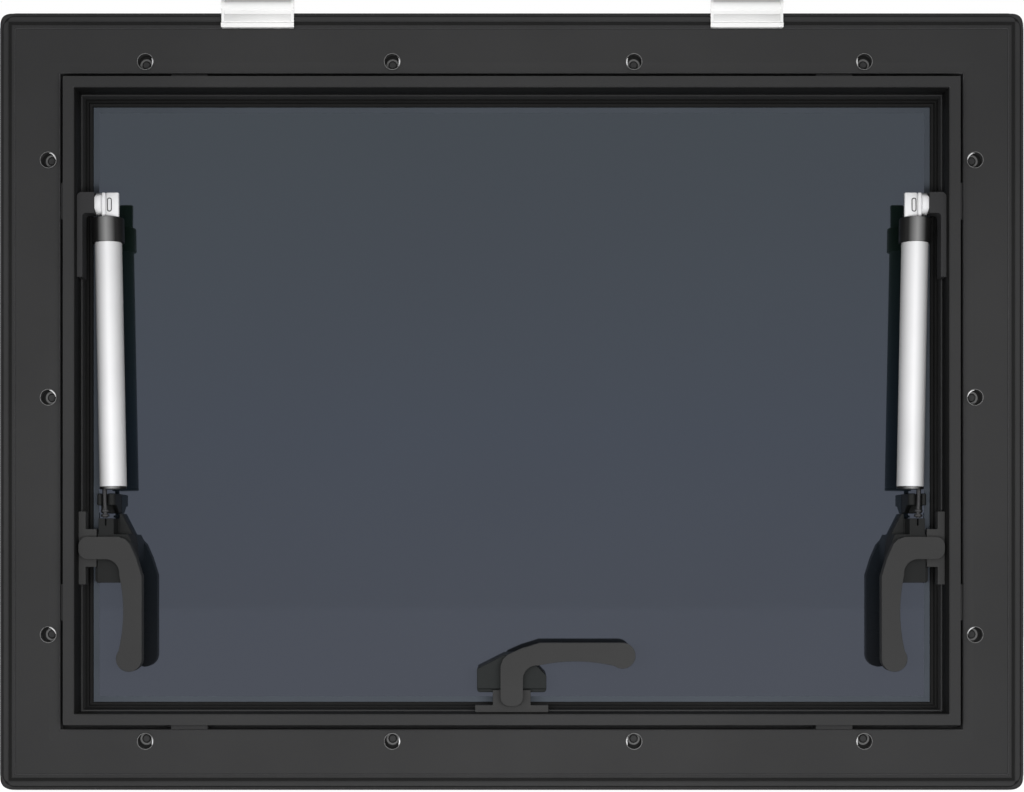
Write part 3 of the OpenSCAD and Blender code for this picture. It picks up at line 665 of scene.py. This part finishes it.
def ringOnPointsTree():
    # sets a thin wire ring on every point, facing the room
    tree, start, end = newTree("ringOnPoints", [
        ("Radius", "NodeSocketFloat", 0.005), ("Wire", "NodeSocketFloat", 0.0002),
        ("Steps", "NodeSocketInt", 48), ("Material", "NodeSocketMaterial", None)])
    nodes, links = tree.nodes, tree.links
    path = nodes.new("GeometryNodeCurvePrimitiveCircle")
    spots = nodes.new("GeometryNodeInstanceOnPoints")
    spots.inputs["Rotation"].default_value = (radians(90), 0, 0)
    links.new(start.outputs["Steps"], path.inputs["Resolution"])
    links.new(start.outputs["Radius"], path.inputs["Radius"])
    links.new(start.outputs["Geometry"], spots.inputs["Points"])
    links.new(roundWire(tree, start, path.outputs["Curve"]), spots.inputs["Instance"])
    return endTree(tree, start, end, spots.outputs[0])


def wireAlongTree():
    # a thin wire along the edges that it is given
    tree, start, end = newTree("wireAlong", [
        ("Wire", "NodeSocketFloat", 0.0002), ("Material", "NodeSocketMaterial", None)])
    path = tree.nodes.new("GeometryNodeMeshToCurve")
    tree.links.new(start.outputs["Geometry"], path.inputs["Mesh"])
    return endTree(tree, start, end, roundWire(tree, start, path.outputs["Curve"]))


# rings round the frame

openingSettings = {"width": 479.0, "height": 343.0, "middle": 189.5}   # mm, and its middle's height
clampOut, clampFace = 42.5, -32.0   # mm, the clamp frame's reach past the opening and the depth of its face
ringTree = mitredRingTree()


def sweptRing(name, section, slot, *replaced):
    verts = [(x * mm, y * mm, 0) for x, y in section]
    edges = [(i, (i + 1) % len(verts)) for i in range(len(verts))]
    values = {
        "Width": openingSettings["width"] * mm,
        "Height": openingSettings["height"] * mm,
        "Middle": openingSettings["middle"] * mm,
    }
    piece = useTree(name, verts, edges, ringTree, values, slot)
    smoothBy(piece, sharpAngle)
    if replaced:
        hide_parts(*replaced)


# sections: x runs away from the opening, y is depth, in mm
# the gasket on the frame's step
gasketSection = [
    (-0.8, -9.5), (-0.8, -13.5), (-0.95, -13.85), (-1.3, -14.0), (-2.2, -14.0), (-2.55, -13.85), (-2.7, -13.5),
    (-2.65, -12.6), (-2.75, -11.9), (-3.05, -11.55), (-3.9, -11.4), (-4.25, -11.2), (-4.4, -10.9), (-4.4, -9.5),
]
sweptRing("gasketRing", gasketSection, "seal_rubber", "frame_gasket")
# the frame's wall inside the rim is covered with a dark sheet of painted shade, with one rib round it
wallSection = [
    (0.05, -37.3), (-0.15, -37.0), (-0.15, -29.2), (-0.3, -28.8), (-0.3, -28.0), (-0.15, -27.6), (-0.15, -21.3),
    (0.05, -21.3),
]
sweptRing("wallLiner", wallSection, "seal_rubber")
# black strip of painted shadow in the clamp frame's groove
grooveSettings = {"near": 5.4, "far": 6.9, "proud": 0.13, "deep": 0.7}
grooveNear, grooveFar = clampOut - grooveSettings["near"], clampOut - grooveSettings["far"]
grooveTop, grooveFloor = clampFace - grooveSettings["proud"], clampFace + grooveSettings["deep"]
grooveSection = [(grooveFar, grooveTop), (grooveNear, grooveTop),
                 (grooveNear, grooveFloor), (grooveFar, grooveFloor)]
sweptRing("clampGroove", grooveSection, "seal_rubber")
# a border of painted reflection on the pane's inner face, beside the gasket's lip, so that the lip isn't
# mirrored there
borderSection = [(-7.5, -9.5), (-7.5, -9.56), (-4.3, -9.56), (-4.3, -9.5)]
sweptRing("paneBorder", borderSection, "paneBorder")
print("gasket, liner, groove and pane border made")

# lines round the frame: distance out from the opening, depth, corner radius, thickness of the line, in mm
wireTree = wireRingTree()
wireLines = {
    # painted shadow: dark wires along the bead's shaded lines
    "outerShadow": {"out": clampOut - 2.25, "y": clampFace + 0.2, "corner": 6.8, "wire": 0.68,
                    "slot": "seal_rubber"},
    "edgeShadow": {"out": clampOut - 0.72, "y": clampFace + 1.2, "corner": 8.3, "wire": 0.6,
                   "slot": "seal_rubber"},
    # painted highlight: pale wires along the edges that catch the light
    "ledgeLight": {"out": clampOut - 8.75, "y": clampFace + 0.12, "corner": 1.0, "wire": 0.30,
                   "slot": "rod_steel"},
    "innerLight": {"out": 9.45, "y": clampFace + 1.05, "corner": 1.0, "wire": 0.27, "slot": "rod_steel"},
    "rimLight": {"out": 1.0, "y": -37.71, "corner": 3.0, "wire": 0.27, "slot": "rod_steel"},
}
for name, line in wireLines.items():
    values = {
        "Width": (openingSettings["width"] + 2 * line["out"]) * mm,
        "Height": (openingSettings["height"] + 2 * line["out"]) * mm,
        "Corner": line["corner"] * mm,
        "Wire": line["wire"] * mm,
        "Place": (0.0, line["y"] * mm, openingSettings["middle"] * mm),
    }
    smoothBy(useTree(name, [(0, 0, 0)], [], wireTree, values, line["slot"]), wireAngle)
print("lines round the frame made:", len(wireLines))


# screw holes: painted highlights on the rims of the counterbores, at the places that the mounts give

rimSettings = {"radius": 4.4, "wire": 0.13, "faceY": -32.05, "steps": 56}
# inside each: a dark floor of painted shade, a sleeve, a pale washer that sits toward the window's middle so
# that the painted shade shows as a crescent on the outer side, and a plug, as (radius, along) pairs from the
# bottom of the hole, in mm
cupSettings = {
    "depth": 4.25,
    "washerShift": 1.15,
    "floor": [(4.75, 0.0), (0, 0.0), (0, -0.3), (4.75, -0.3)],
    "sleeve": [(4.35, 0.0), (4.35, 4.1), (4.45, 4.25), (4.95, 4.28), (4.95, 4.1), (4.78, 4.1), (4.78, 0.0)],
    "washer": [(2.45, -0.2), (2.45, 0.25), (2.65, 0.4), (3.3, 0.4), (3.5, 0.25), (3.5, -0.2)],
    "plug": [(1.75, 0.0), (1.75, 0.55), (0, 0.7)],
    "steps": {"floor": 40, "sleeve": 56, "washer": 40, "plug": 24},
}
# and a painted highlight, a bright crescent, with its angles in degrees
glintSettings = {"at": 4.0, "depth": 0.7, "wire": 0.45, "tip": 0.12, "steps": 12, "sides": 8,
                 "rowSpread": 32, "sideSpread": 42, "leftTurn": 45, "rightTurn": 135}


def holePlaces():
    places = []
    for mount in frame["record"]["mounts"]:
        if mount["kind"] != "bolt_pattern":
            continue
        x, _, z = mount["pos_m"]
        halfX = mount["dims"]["spacing_x_mm"] * mm / 2
        halfZ = mount["dims"].get("spacing_y_mm", 0.0) * mm / 2
        for across in (-halfX, halfX):
            for up in {-halfZ, halfZ}:
                places.append((x + across, rimSettings["faceY"] * mm, z + up))
    return sorted(places)


def addGlint(verts, faces, x, z, middle, spread):
    # a bent wire that is thin at both tips
    start, steps, sides = len(verts), glintSettings["steps"], glintSettings["sides"]
    tip, y = glintSettings["tip"], rimSettings["faceY"] + glintSettings["depth"]
    for step in range(steps + 1):
        turn = middle + spread * (2 * step / steps - 1)
        wire = glintSettings["wire"] * (tip + (1 - tip) * sin(pi * step / steps))
        for k in range(sides):
            lean = 2 * pi * k / sides
            reach = glintSettings["at"] + wire * cos(lean)
            verts.append((x + reach * cos(turn), y + wire * sin(lean), z + reach * sin(turn)))
    for step in range(steps):
        for k in range(sides):
            a, b = start + step * sides + k, start + step * sides + (k + 1) % sides
            faces.append((a, b, b + sides, a + sides))
    faces.append([start + k for k in range(sides)])
    faces.append([start + steps * sides + k for k in range(sides)])


def holeInsides(places):
    shapes = {name: ([], []) for name in ("floor", "sleeve", "washer", "plug", "glint")}
    deep, middleZ = rimSettings["faceY"] + cupSettings["depth"], openingSettings["middle"]
    for x, _, z in places:
        x, z = x / mm, z / mm
        inRow = abs(z - middleZ) > openingSettings["height"] / 2
        # toward the window's middle is up or down in the rows and aside at the sides
        inX = 0 if inRow else (-1 if x > 0 else 1)
        inZ = (-1 if z > middleZ else 1) if inRow else 0
        shift = cupSettings["washerShift"]
        bottom, shifted = (x, deep, z), (x + inX * shift, deep, z + inZ * shift)
        for name, spot in (("floor", bottom), ("sleeve", bottom), ("washer", shifted), ("plug", shifted)):
            steps, closed = cupSettings["steps"][name], name != "plug"
            turned(*shapes[name], cupSettings[name], spot, (0, -1, 0), steps, closed)
        if inRow:
            addGlint(*shapes["glint"], x, z, pi if x > 0 else 0, radians(glintSettings["rowSpread"]))
        else:
            middle = radians(glintSettings["leftTurn" if x < 0 else "rightTurn"])
            addGlint(*shapes["glint"], x, z, middle, radians(glintSettings["sideSpread"]))
    meshPiece("holeFloors", *shapes["floor"], "seal_rubber", "window")
    meshPiece("holeSleeves", *shapes["sleeve"], "clamp_metal", "window")
    meshPiece("holeWashers", *shapes["washer"], "wornMetal", "window")
    meshPiece("holePlugs", *shapes["plug"], "clamp_metal", "window")
    meshPiece("holeGlints", *shapes["glint"], "bright_metal", "window", wireAngle)


holes = holePlaces()
rimValues = {"Radius": rimSettings["radius"] * mm, "Wire": rimSettings["wire"] * mm,
             "Steps": rimSettings["steps"]}
smoothBy(useTree("holeRims", holes, [], ringOnPointsTree(), rimValues, "rimMetal"), wireAngle)
holeInsides(holes)
print("hole rims and insides made:", len(holes), "holes")


# the clips taper toward the wall, their lips end a little higher, and a band of painted shade crosses each
# front where its crease falls

trimSettings = {"taper": 0.06, "lipLow": 393.6, "lipRaise": 1.2}
bandSettings = {"half": 18.2, "y": (-34.42, -34.0), "z": (398.0, 402.0), "edge": 0.1}


def trimClips():
    bands = ([], [])
    for side in ("left", "right"):
        low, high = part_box("top_clip_" + side)
        middle, deep = (low[0] + high[0]) / 2, high[1] - low[1]
        for point in bpy.data.objects["topClip" + side.title()].data.vertices:
            narrow = 1 - trimSettings["taper"] * (point.co.y - low[1]) / deep
            point.co.x = middle + (point.co.x - middle) * narrow
            if point.co.z < trimSettings["lipLow"] * mm:
                point.co.z += trimSettings["lipRaise"] * mm
        (yNear, yFar), (zLow, zHigh) = bandSettings["y"], bandSettings["z"]
        left, right = middle / mm - bandSettings["half"], middle / mm + bandSettings["half"]
        softBox(*bands, (left, yNear, zLow), (right, yFar, zHigh), bandSettings["edge"])
    meshPiece("clipBands", *bands, "clipBand", "window", wireAngle)


trimClips()
print("clips trimmed and banded")


# the stays' collars and swivel heads, in mm for the left one

staySettings = {
    "foot": (-223.3, -25.5, 278.9),   # where the collar stands
    "lean": 1.13,                     # degrees
    "collar": [(0, -1.3), (8.5, -1.3), (8.8, -1.05), (8.85, -0.5), (8.85, 11.5), (8.75, 12.0), (8.4, 12.3),
               (0, 12.3)],
    "blocks": [((-226.2, -224.2), (-29.5, -26.3), (291.4, 305.0)),
               ((-223.7, -216.9), (-29.5, -26.3), (291.4, 305.0)),
               ((-225.2, -222.0), (-28.0, -25.5), (292.0, 304.4))],
    "blockEdge": 0.35,
    "nutAt": (-230.0, -25.5, 299.2),
    "nut": [(0, 0.0), (5.9, 0.0), (6.3, 0.35), (6.3, 3.3), (5.9, 3.65), (0, 3.65)],
    "collarSteps": 96, "nutSides": 6, "headAngle": 50,   # the last is the head's sharp angle
}
slotSettings = {"x": -221.9, "y": -29.5, "z": 298.3, "radius": 1.1, "half": 2.5, "wire": 0.26, "steps": 24}


def stayHead(side, sign):
    x, y, z = staySettings["foot"]
    lean = radians(staySettings["lean"])
    verts, faces = [], []
    up = (-sign * sin(lean), 0, cos(lean))
    turned(verts, faces, staySettings["collar"], (sign * x, y, z), up, staySettings["collarSteps"])
    collar = meshPiece("stayCollar" + side, verts, faces, "gloss_black", "window")
    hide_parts("stay_collar_" + side.lower())
    verts, faces = [], []
    for xEnds, yEnds, zEnds in staySettings["blocks"]:
        left, right = sorted(sign * end for end in xEnds)
        low, high = (left, yEnds[0], zEnds[0]), (right, yEnds[1], zEnds[1])
        softBox(verts, faces, low, high, staySettings["blockEdge"])
    x, y, z = staySettings["nutAt"]
    turned(verts, faces, staySettings["nut"], (sign * x, y, z), (sign, 0, 0), staySettings["nutSides"])
    head = meshPiece("stayPivot" + side, verts, faces, "bright_metal", "window", staySettings["headAngle"])
    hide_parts("stay_pivot_" + side.lower())


def slotOutline(side, sign):
    # fine dark line of painted shade round the slot in the block's face
    look, steps, points = slotSettings, slotSettings["steps"], []
    for step in range(steps):
        turn = 2 * pi * step / steps
        x = sign * look["x"] + look["radius"] * cos(turn)
        z = look["z"] + look["radius"] * sin(turn) + (look["half"] if sin(turn) > 0 else -look["half"])
        points.append((x * mm, look["y"] * mm, z * mm))
    edges = [(k, (k + 1) % steps) for k in range(steps)]
    values = {"Wire": look["wire"] * mm}
    smoothBy(useTree("slotOutline" + side, points, edges, alongTree, values, "spacer_black"), wireAngle)


alongTree = wireAlongTree()
for side, sign in (("Left", 1), ("Right", -1)):
    stayHead(side, sign)
    slotOutline(side, sign)
print("collars and swivel heads made")
